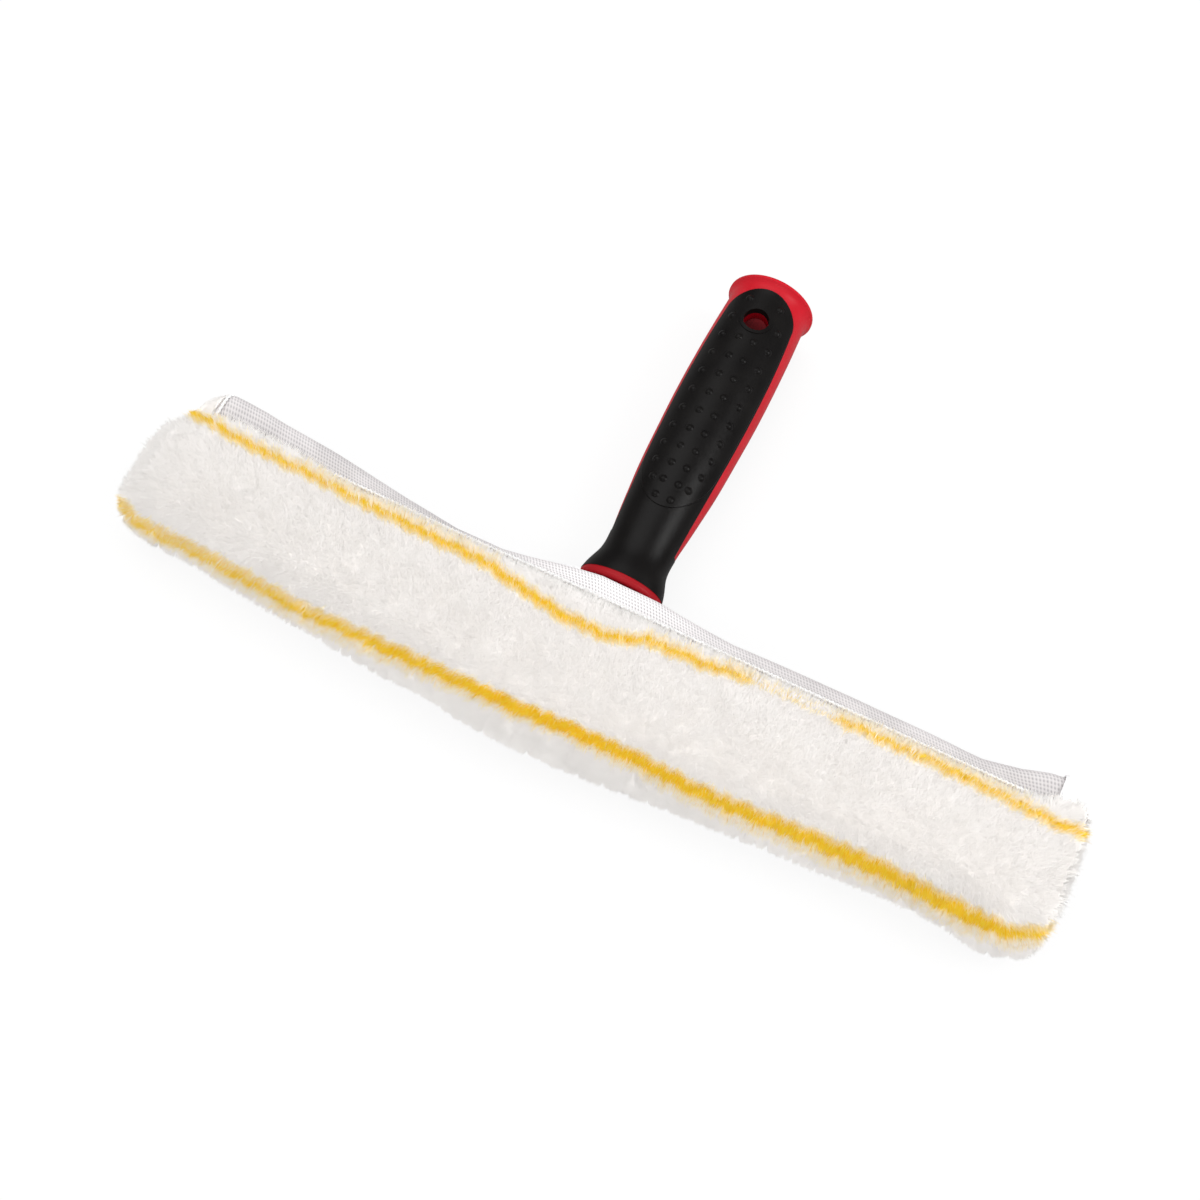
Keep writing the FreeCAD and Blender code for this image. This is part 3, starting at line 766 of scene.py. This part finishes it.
def tuftPiece(number, places, normals, stripe, fleck, outside):
    # every tuft is a closed spike of four corners
    count = len(places)
    mesh = arrayMesh("pile_tufts", places.reshape(-1, 3), ((0, 1, 3), (1, 2, 3), (2, 0, 3), (0, 2, 1)), count)
    writePile(mesh, stripe.ravel(), np.repeat(fleck, 4), np.tile([0.0, 0.0, 0.0, 1.0], count),
              np.repeat(outside, 4))
    soft = normalsOf(mesh) * tuft["softShare"] + np.repeat(normals, 4, axis=0) * (1 - tuft["softShare"])
    mesh.normals_split_custom_set_from_vertices(unitWays(soft))
    return newPiece("pile_tufts_%d" % (number + 1), mesh, pileFibre, "sleeve")


felt, outer = makeFelt()
tufts = growTufts(felt, outer)
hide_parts("plush_wrap")
print("pile made", len(felt.data.polygons))


# Knitted mesh along the back, and what is sewn to it; all lengths in millimetres
def boxOf(node):
    low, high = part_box(node)
    return np.array(low) / mm, np.array(high) / mm


meshLow, meshHigh = boxOf("mesh_back")
slitHalf = axisHeight - boxOf("slit_hook_tape")[1][2]
eyeMiddle = boxOf("opening_hem")[1][0]
cloth = {
    "pitch": 0.58,  # of the grid, half of the pitch of the holes
    "underCap": 1.0,
    "reachRight": 3.4,  # how far the cloth's open end goes beyond its solid
    "corner": 4.0,
    "relief": 0.13,
    "grain": 0.06,
    "thickness": 0.5,
    "waviness": 0.25,
    "waveLengths": (9.0, 23.0, 31.0),
    "waveBend": 1.3,
    "slotFront": 2.0,  # how far behind the mesh's front edge the slit begins
    "readings": 160,
    "readFrom": (0.4, 20.0, 2.0),  # in from the ends, behind the back and above the slit
    # how far the mesh's upper corner stands up at places along it, and how far it goes back with that
    "stand": ((-159, -1.5), (-156.5, 0.8), (-153.5, 3.0), (-140, 3.2), (-120, 1.6), (-100, 0.3),
              (-80, -1.6), (-60, -2.8), (-42, -2.9), (-24, 0.2), (-14, 1.0), (14, 1.0), (26, 0.2), (40, 0),
              (136, 0), (148, 1.2), (157, 3.8), (163, 4.4)),
    "standBackShare": 0.65,
    "standBackFrom": (20.0, 14.0),  # where along the sleeve it begins to go back, and over what length
    "flatSize": (319.0, 46.6),
    "flatArea": 13450.0,
}


def readBack():
    # how far back the mesh reaches, at places along the sleeve
    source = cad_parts["mesh_back"]
    inset, behind, above = cloth["readFrom"]
    along = np.linspace(meshLow[0] + inset, meshHigh[0] - inset, cloth["readings"])
    depths = []
    for x in along:
        start = Vector((x, meshHigh[1] + behind, axisHeight + slitHalf + above)) * mm
        spot = source.ray_cast(start, Vector((0, -1, 0)))[1]
        depths.append(spot.y / mm)
    return along, np.array(depths)


backLine = readBack()
flatHalf = (meshHigh[2] - meshLow[2]) / 2 - cloth["corner"]
bendLength = cloth["corner"] * math.pi / 2


def armLength(x):
    return np.interp(x, *backLine) - cloth["corner"] - meshLow[1]


def onBack(x, s, lift):
    # a place on the mesh and the way out of it, x along the sleeve and s round it from the middle of the back
    back = np.interp(x, *backLine)
    side = np.sign(s)
    turn = np.clip(np.abs(s) - flatHalf, 0, bendLength) / cloth["corner"]
    arm = np.maximum(np.abs(s) - flatHalf - bendLength, 0)
    outY = np.cos(turn)
    outZ = side * np.sin(turn)
    y = back - cloth["corner"] + cloth["corner"] * outY - arm
    z = side * np.minimum(np.abs(s), flatHalf) + cloth["corner"] * outZ
    free = np.clip((y - meshLow[1]) / (back - meshLow[1]), 0, 1)
    stand = np.interp(x, *np.array(cloth["stand"], float).T) * free
    stand = stand * np.clip(z / (flatHalf + cloth["corner"]), 0, 1)
    short, middling, long = (x / length for length in cloth["waveLengths"])
    ripple = cloth["waviness"] * free * np.sin(short + cloth["waveBend"] * np.sin(middling)) * np.sin(long)
    start, reach = cloth["standBackFrom"]
    y = y + cloth["standBackShare"] * stand * smoothStep((np.abs(x) - start) / reach) + outY * (lift + ripple)
    z = z + stand + outZ * (lift + ripple)
    return np.stack([x, y, z + axisHeight], axis=-1), np.stack([np.zeros_like(x), outY, outZ], axis=-1)


def gridPiece(name, columns, rows):
    deselect()
    bpy.ops.mesh.primitive_grid_add(x_subdivisions=columns, y_subdivisions=rows, size=2)
    piece = bpy.context.object
    piece.name = name
    piece.data.name = name
    shares = (coordinates(piece.data)[:, :2] + 1) / 2
    return piece, shares[:, 0], shares[:, 1]


def deleteFaces(piece, chosen):
    mesh = piece.data
    bpy.context.tool_settings.mesh_select_mode = (False, False, True)
    for part in (mesh.vertices, mesh.edges):
        part.foreach_set("select", np.zeros(len(part), bool))
    mesh.polygons.foreach_set("select", chosen)
    activate(piece)
    bpy.ops.object.mode_set(mode="EDIT")
    bpy.ops.mesh.delete(type="FACE")
    bpy.ops.object.mode_set(mode="OBJECT")


def faceMiddles(mesh):
    middles = np.zeros(len(mesh.polygons) * 3)
    mesh.polygons.foreach_get("center", middles)
    return middles.reshape(-1, 3) / mm


def asPiece(piece, material):
    piece.data.materials.clear()
    piece.data.materials.append(material)
    activate(piece)
    bpy.ops.object.shade_smooth()
    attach(piece, "sleeve")


def makeMesh():
    pitch = cloth["pitch"]
    left = meshLow[0] - cloth["underCap"]
    right = meshHigh[0] + cloth["reachRight"]
    columns = round((right - left) / pitch)
    bodyRows = 2 * round((flatHalf + bendLength) / pitch - 0.5) + 1
    armRows = round(float(armLength(0.0)) / pitch)
    rows = bodyRows + 2 * armRows
    piece, u, v = gridPiece("mesh_cloth", columns, rows)
    x = left + u * (right - left)
    row = np.round(v * rows) - rows / 2
    bodyHalf = bodyRows / 2
    past = np.maximum(np.abs(row) - bodyHalf, 0) / armRows
    s = np.sign(row) * (np.minimum(np.abs(row), bodyHalf) * pitch + past * armLength(x))
    column = np.round(u * columns).astype(int)
    line = np.round(v * rows).astype(int)
    hole = (line % 2 == 0) & ((column + line // 2) % 2 == 0) & (column > 1) & (column < columns - 1)
    places, ways = onBack(x, s, hole * cloth["relief"] * -2 - cloth["thickness"] / 2)
    putCoordinates(piece.data, places * mm)
    mark = piece.data.attributes.new("stitch", "FLOAT", "POINT")
    mark.data.foreach_set("value", (1.0 - hole).astype(np.float32))
    middles = faceMiddles(piece.data)
    height = middles[:, 2] - axisHeight
    front = meshLow[1] + cloth["slotFront"]
    inSlot = (np.abs(height) < slitHalf) & (middles[:, 0] > eyeMiddle) & (middles[:, 1] > front)
    inEye = np.hypot(height, middles[:, 0] - eyeMiddle) < slitHalf
    deleteFaces(piece, inSlot | inEye)
    applyModifier(piece, "wall", "SOLIDIFY", thickness=cloth["thickness"] * mm, offset=0.0)
    asPiece(piece, knitted)
    return piece


def patch(name, x, s, pitch, lift, thickness, material):
    # a strip of cloth on the mesh between two places along it and two round it
    columns = max(2, round((x[1] - x[0]) / pitch))
    rows = max(2, round((s[1] - s[0]) / pitch))
    piece, u, v = gridPiece(name, columns, rows)
    grain = ((np.round(u * columns) + 2 * np.round(v * rows)) % 4 < 2) * cloth["grain"]
    places, ways = onBack(x[0] + u * (x[1] - x[0]), s[0] + v * (s[1] - s[0]), lift + grain)
    putCoordinates(piece.data, places * mm)
    applyModifier(piece, "wall", "SOLIDIFY", thickness=thickness * mm, offset=0.0)
    asPiece(piece, material)
    return piece


def sweptUnit(line, radii, sides=3):
    # a short closed tube along a bent line in the XZ plane: its corners and its faces
    line = np.array(line, float)
    corners = []
    for index, (middle, radius) in enumerate(zip(line, radii)):
        ahead = line[min(index + 1, len(line) - 1)] - line[max(index - 1, 0)]
        ahead /= np.linalg.norm(ahead)
        across = np.cross(ahead, (0, 1, 0))
        third = np.cross(ahead, across)
        for turn in range(sides):
            angle = math.tau * turn / sides
            corners.append(middle + radius * (across * math.cos(angle) + third * math.sin(angle)))
    faces = []
    for ring in range(len(line) - 1):
        for turn in range(sides):
            a = ring * sides + turn
            b = ring * sides + (turn + 1) % sides
            faces += [(a, b, b + sides), (a, b + sides, a + sides)]
    last = (len(line) - 1) * sides
    for turn in range(1, sides - 1):
        faces += [(0, turn + 1, turn), (last, last + turn, last + turn + 1)]
    return np.array(corners), faces


def scattered(name, unit, spots, first, out, material, body):
    # equal small shapes at many spots, each with its own X way and its own way out
    corners, faces = unit
    out = unitWays(out)
    second = unitWays(np.cross(out, first))
    first = np.cross(second, out)
    ways = np.stack([first, second, out], axis=1)
    places = spots[:, None, :] + np.einsum("nij,ki->nkj", ways, corners)
    mesh = arrayMesh(name, places.reshape(-1, 3) * mm, faces, len(spots))
    return newPiece(name, mesh, material, body)


hookUnit = sweptUnit(((0, 0, -0.2), (0, 0, 0.22), (0.1, 0, 0.38), (0.27, 0, 0.3)), (0.16, 0.12, 0.1, 0.07))
loopUnit = sweptUnit(((-0.32, 0, -0.1), (-0.26, 0, 0.25), (0, 0, 0.42), (0.26, 0, 0.25), (0.32, 0, -0.1)),
                     (0.08, 0.08, 0.08, 0.08, 0.08))
stitchUnit = sweptUnit(((-0.95, 0, -0.12), (-0.6, 0, 0.12), (0, 0, 0.2), (0.6, 0, 0.12), (0.95, 0, -0.12)),
                       (0.12, 0.2, 0.22, 0.2, 0.12), 5)

tape = {
    "pitch": 0.8,
    "thickness": 0.7,
    "raise": 0.3,  # over the mesh
    "hookPitch": 1.15,
    "loopPitch": 1.0,
    "unevenShare": 0.05,  # of a pitch, that a hook or loop stands beside its place
    "turnShare": 0.25,  # how much it is turned from its row
    "padInset": 0.8,
}

# What is sewn round the mesh's free edges
hem = {
    "thickness": 0.6,
    "raise": 0.35,
    "pitch": 0.5,
    "inset": 0.3,  # of the end hem from the mesh's long edges
    "stitchPitch": 2.4,
    "stitchInset": 1.0,
    "stitchRaise": 0.4,
    "stitchEnds": (1.2, 0.6),
    "foldRadius": 0.72,
    "foldInset": 0.2,
    "eyeRings": 9,
    "eyeRays": 56,
    "eyeSquareness": 5,
    "eyeStitches": 11,
    "eyeStitchInset": 3.4,
}

# The overlock threads, whose parts are shares of the bead's radius
thread = {
    "pitch": 1.7,
    "turnPoints": 9,
    "coreShare": 0.6,
    "windingShare": 0.36,
    "windingPathShare": 0.62,
    "seamInset": 0.9,
    "seamRaise": 0.1,
    "endInset": 0.5,
    "endRadius": 0.75,
    "endRaise": 0.8,
}


def rowsOf(x, s, pitch):
    # an even field of spots between two places along the sleeve and two across
    along = np.arange(x[0] + pitch / 2, x[1], pitch)
    across = np.arange(s[0] + pitch / 2, s[1], pitch)
    grid = np.array(np.meshgrid(along, across)).reshape(2, -1)
    return grid + dice.normal(0, tape["unevenShare"] * pitch, grid.shape)


def turned(way, count):
    # the ways that so many hooks or loops look, each a little off the given one
    return np.tile(way, (count, 1)) + dice.normal(0, tape["turnShare"], (count, 3))


def onMesh(name, unit, x, s, pitch, lift, inward, material):
    along, across = rowsOf(x, s, pitch)
    spots, out = onBack(along, across, lift)
    if inward:
        out = -out
    first = turned([1.0, 0.0, 0.0], len(along))
    first[dice.random(len(along)) < 0.5] *= -1
    return scattered(name, unit, spots, first, out, material, "sleeve")


def joined(first, *others):
    deselect()
    for piece in others:
        piece.select_set(True)
    first.select_set(True)
    bpy.context.view_layer.objects.active = first
    bpy.ops.object.join()
    return first


def stitchRow(name, x, s, lift):
    # a row of stitches along a line of the cloth, from its list of places along and round it
    spots, out = onBack(x, s, lift)
    ahead = unitWays(np.gradient(spots, axis=0))
    return scattered(name, stitchUnit, spots, ahead, out, whiteThread, "sleeve")


def makeTapes():
    low, high = boxOf("slit_hook_tape")
    span = (low[0], high[0])
    reach = high[2] - low[2]
    under = (-slitHalf - reach, -slitHalf)
    over = (slitHalf, slitHalf + reach)
    pitch = tape["pitch"]
    thick = tape["thickness"]
    lift = cloth["thickness"] / 2 + tape["raise"]
    hookTape = patch("hook_tape_cloth", span, under, pitch, lift, thick, hookPlastic)
    hooks = onMesh("tape_hooks", hookUnit, span, under, tape["hookPitch"], lift + thick / 2, False,
                   hookPlastic)
    loopTape = patch("loop_tape_cloth", span, over, pitch, -lift - cloth["thickness"], thick,
                     loopCloth)
    lift = -lift - thick / 2 - cloth["thickness"]
    loops = onMesh("tape_loops", loopUnit, span, over, tape["loopPitch"], lift, True, loopCloth)
    return joined(hookTape, hooks), joined(loopTape, loops)


def makeEndHem():
    low, high = (corner + np.array((cloth["reachRight"], 0, 0)) for corner in boxOf("mesh_end_hem"))
    edge = flatHalf + bendLength + float(armLength(high[0])) - hem["inset"]
    lift = cloth["thickness"] / 2 + hem["raise"]
    first, last = hem["stitchEnds"]
    parts = []
    for side in (-1, 1):
        s = sorted((side * slitHalf, side * edge))
        parts.append(patch("end_hem", (low[0], high[0]), s, hem["pitch"], lift, hem["thickness"], hemCloth))
        places = np.arange(s[0] + first, s[1] - last, hem["stitchPitch"])
        parts.append(stitchRow("end_hem_stitches", np.full(len(places), low[0] + hem["stitchInset"]), places,
                               lift + hem["stitchRaise"]))
        s = np.linspace(s[0], s[1], 40)
        fold, out = onBack(np.full(len(s), high[0] - hem["foldInset"]), s, lift / 2)
        parts.append(curvePiece("end_hem_fold", fold, hem["foldRadius"], hemCloth, 3))
    return joined(*parts)


def makeOpeningHem():
    # a turned edge round the eye of the slit, on rays from the eye's middle
    low, high = boxOf("opening_hem")
    rings = hem["eyeRings"]
    rays = hem["eyeRays"]
    piece, u, v = gridPiece("opening_hem_cloth", rings, rays)
    angle = math.pi / 2 + v * math.pi
    square = hem["eyeSquareness"]
    rounded = (np.abs(np.cos(angle)) ** square + np.abs(np.sin(angle)) ** square) ** (-1 / square)
    radius = slitHalf + u * ((high[2] - axisHeight) * rounded - slitHalf)
    grain = ((np.round(u * rings) + np.round(v * rays)) % 2) * cloth["grain"]
    lift = cloth["thickness"] / 2 + hem["raise"]
    places, ways = onBack(eyeMiddle + radius * np.cos(angle), radius * np.sin(angle), lift + grain)
    putCoordinates(piece.data, places * mm)
    applyModifier(piece, "wall", "SOLIDIFY", thickness=hem["thickness"] * mm, offset=0.0)
    asPiece(piece, hemCloth)
    angle = np.linspace(math.pi / 2 + 0.1, 3 * math.pi / 2 - 0.1, hem["eyeStitches"])
    radius = slitHalf + hem["eyeStitchInset"]
    row = stitchRow("opening_hem_stitches", eyeMiddle + radius * np.cos(angle), radius * np.sin(angle),
                    lift + hem["stitchRaise"])
    return joined(piece, row)


def curvePiece(name, line, radius, material, roundness=0):
    data = bpy.data.curves.new(name, "CURVE")
    data.dimensions = "3D"
    data.bevel_depth = radius * mm
    data.bevel_resolution = roundness
    data.use_fill_caps = True
    spline = data.splines.new("POLY")
    spline.points.add(len(line) - 1)
    spline.points.foreach_set("co", np.hstack([line * mm, np.ones((len(line), 1))]).ravel())
    curve = bpy.data.objects.new(name, data)
    bpy.context.scene.collection.objects.link(curve)
    activate(curve)
    bpy.ops.object.convert(target="MESH")
    piece = bpy.context.object
    asPiece(piece, material)
    return piece


def woundThread(name, spine, first, second, radius):
    # a bead of overlock thread: a core, and a finer thread wound round it
    steps = np.linalg.norm(np.diff(spine, axis=0), axis=1)
    travelled = np.concatenate([[0], np.cumsum(steps)])
    pitch = thread["pitch"]
    where = np.linspace(0, travelled[-1], int(travelled[-1] / pitch * thread["turnPoints"]))

    def at(values):
        return np.stack([np.interp(where, travelled, values[:, index]) for index in range(3)], axis=1)

    turn = (where / pitch * math.tau)[:, None]
    aside = at(first) * np.cos(turn) + at(second) * np.sin(turn)
    path = at(spine) + aside * (radius * thread["windingPathShare"])
    winding = curvePiece(name, path, radius * thread["windingShare"], whiteThread)
    return joined(winding, curvePiece(name + "_core", spine, radius * thread["coreShare"], whiteThread))


def makeThreads():
    made = []
    for node, side in (("upper_seam_thread", 1), ("lower_seam_thread", -1)):
        low, high = boxOf(node)
        radius = (high[2] - low[2]) / 2
        x = np.linspace(low[0], high[0], cloth["readings"])
        s = side * (flatHalf + bendLength + armLength(x) - thread["seamInset"])
        spine, out = onBack(x, s, radius + thread["seamRaise"])
        across = np.cross(np.tile([1.0, 0, 0], (len(x), 1)), out)
        made.append((woundThread(node + "_bead", spine, out, across, radius), node))
    low, high = boxOf("end_seam_thread")
    x = (low[0] + high[0]) / 2
    edge = flatHalf + bendLength + float(armLength(x)) - thread["endInset"]
    s = np.linspace(-edge, edge, 60)
    spine, out = onBack(np.full(len(s), x), s, thread["endRaise"])
    along = np.tile([1.0, 0, 0], (len(s), 1))
    bead = woundThread("end_seam_thread_bead", spine, out, along, thread["endRadius"])
    return made + [(bead, "end_seam_thread")]


backMesh = makeMesh()
hookTape, loopTape = makeTapes()
endHem = makeEndHem()
openingHem = makeOpeningHem()
threads = makeThreads()
sewnOn = [(hookTape, "slit_hook_tape"), (loopTape, "slit_loop_tape"), (endHem, "mesh_end_hem"),
          (openingHem, "opening_hem")] + threads
for piece, node in [(backMesh, "mesh_back")] + sewnOn:
    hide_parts(node)
print("back made", len(backMesh.data.polygons))


def makePadHooks(node):
    low, high = boxOf(node)
    low = low + tape["padInset"]
    side = high - tape["padInset"]
    along, across = rowsOf((low[0], side[0]), (low[1], side[1]), tape["hookPitch"])
    spots = np.stack([along, across, np.full(len(along), high[2])], axis=1)
    first = turned([0.0, 1.0, 0.0], len(along))
    first[:, 2] = 0
    first[dice.random(len(along)) < 0.5] *= -1
    out = np.tile([0.0, 0.0, 1.0], (len(along), 1))
    return scattered(node + "_hooks", hookUnit, spots, first, out, hookPlastic, "t_bar")


for node in ("hook_pad_left", "hook_pad_right"):
    makePadHooks(node)
print("hooks made")

# Stage: a white floor that keeps a faint shadow, and soft lamps; places and sizes in metres
stage = {
    "floorSize": 6.0,
    "whiteShare": 0.86,  # how much of the floor is plain white to the camera
    "worldLevel": 0.72,  # at the horizon behind the object
    "worldRise": 0.58,  # what is added straight overhead
    "worldTilt": 0.3,  # how much of that rise also goes from the back to the front
    "mirroredLevel": 0.13,  # of the world in reflections
    "mirroredFloorShare": 0.75,  # how much of the floor is dark in reflections
    "mirroredFloorLevel": 0.12,
    "topPower": 2.7,
    "topSize": 0.9,
    "topPlace": (-0.35, 0.25, 1.1),
    "keyPower": 3.0,
    "keySize": 0.45,
    "keyPlace": (0.75, 0.15, 0.8),
    "frontPower": 0.6,
    "frontSize": 0.12,
    "frontPlace": (0.05, -0.6, 0.8),
}


def floorFinish():
    finish = Finish("floor_white")
    finish.set(Base_Color=(0.8, 0.8, 0.8, 1), Roughness=0.9)
    rays = finish.node("ShaderNodeLightPath", {}, {})
    lit = Socket(finish, finish.shader.outputs[0])
    white = finish.out("ShaderNodeEmission", {}, {"Strength": 1.0})
    share = Socket(finish, rays.outputs["Is Camera Ray"]) * stage["whiteShare"]
    seen = finish.out("ShaderNodeMixShader", {}, {0: share, 1: lit, 2: white})
    dark = finish.out("ShaderNodeEmission", {}, {"Strength": stage["mirroredFloorLevel"]})
    share = Socket(finish, rays.outputs["Is Glossy Ray"]) * stage["mirroredFloorShare"]
    both = finish.out("ShaderNodeMixShader", {}, {0: share, 1: seen, 2: dark})
    finish.join(finish.tree.nodes["Material Output"].inputs["Surface"], both)
    return finish.holder


def makeSky():
    # the world is lighter overhead and in front of the object, dim in reflections, and white to the camera
    sky = Finish("studio", bpy.data.worlds, "Background")
    rays = sky.node("ShaderNodeLightPath", {}, {})
    right, back, up = sky.split(sky.out("ShaderNodeTexCoord", {}, {}, "Generated"))
    tilt = stage["worldTilt"]
    level = stage["worldLevel"]
    light = sky.out("ShaderNodeMapRange", {}, {"Value": back * -tilt + up, "From Min": -tilt, "To Min": level,
                                               "To Max": level + stage["worldRise"]})
    glossy = Socket(sky, rays.outputs["Is Glossy Ray"])
    light = sky.out("ShaderNodeMix", {}, {0: glossy, 2: light, 3: stage["mirroredLevel"]})
    seen = Socket(sky, rays.outputs["Is Camera Ray"])
    light = sky.out("ShaderNodeMix", {}, {0: seen, 2: light, 3: 1.0})
    return sky.set(Color=(1, 1, 1, 1), Strength=light)


def makeStage():
    deselect()
    bpy.ops.mesh.primitive_plane_add(size=stage["floorSize"])
    floor = bpy.context.object
    floor.name = "floor"
    floor.data.materials.append(floorFinish())
    bpy.context.scene.world = makeSky()
    for name in ("top", "key", "front"):
        place = Vector(stage[name + "Place"])
        bpy.ops.object.light_add(type="AREA", location=place)
        lamp = bpy.context.object
        lamp.data.energy = stage[name + "Power"]
        lamp.data.size = stage[name + "Size"]
        lamp.rotation_euler = (-place).to_track_quat("-Z", "Y").to_euler()


def makeCamera():
    turn, roll = (math.radians(cameraView[name]) for name in ("azimuth", "roll"))
    outward = (cameraPlace() - Vector(cameraView["target"])).normalized()
    right = Vector((math.cos(turn), math.sin(turn), 0))
    up = outward.cross(right)
    rolledRight = right * math.cos(roll) + up * math.sin(roll)
    rolledUp = up * math.cos(roll) - right * math.sin(roll)
    data = bpy.data.cameras.new("camera")
    data.sensor_width = 36.0
    data.lens = data.sensor_width * cameraView["focalPixels"] / cameraView["imageWidth"]
    data.clip_start = 0.01
    camera = bpy.data.objects.new("camera", data)
    bpy.context.scene.collection.objects.link(camera)
    facing = Matrix((rolledRight, rolledUp, outward)).transposed().to_4x4()
    camera.matrix_world = Matrix.Translation(cameraPlace() * mm) @ facing
    bpy.context.scene.camera = camera


makeStage()
makeCamera()
bpy.context.scene.view_settings.view_transform = "Standard"
print("scene ready")
